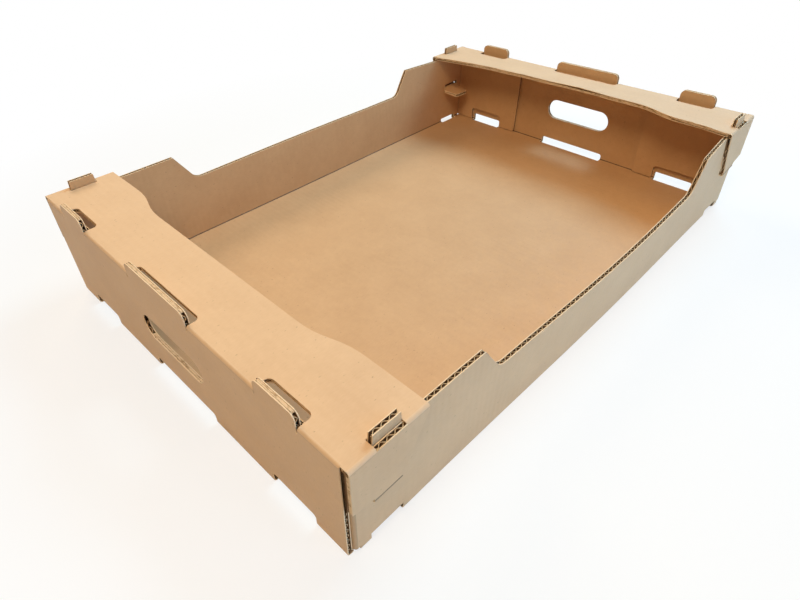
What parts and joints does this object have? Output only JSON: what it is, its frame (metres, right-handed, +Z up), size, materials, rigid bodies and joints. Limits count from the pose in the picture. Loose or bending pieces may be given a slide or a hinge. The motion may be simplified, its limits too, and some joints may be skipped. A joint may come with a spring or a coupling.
{
  "type": "cardboard tray box",
  "caption": "Open stacking tray folded from corrugated board: low side walls, ledges at the ends, hand holes, stacking tabs and matching slots.",
  "frame": {"origin": "middle of the underside", "axes": "+Z up, +Y along the length towards one ledge, +X across the width"},
  "size_m": [0.4, 0.6, 0.112],
  "materials": {
    "kraft_board": "matt brown kraft paper with open flutes at the cut edges"
  },
  "bodies": {
    "root": {"folded_tray": "kraft_board"}
  },
  "joints": []
}
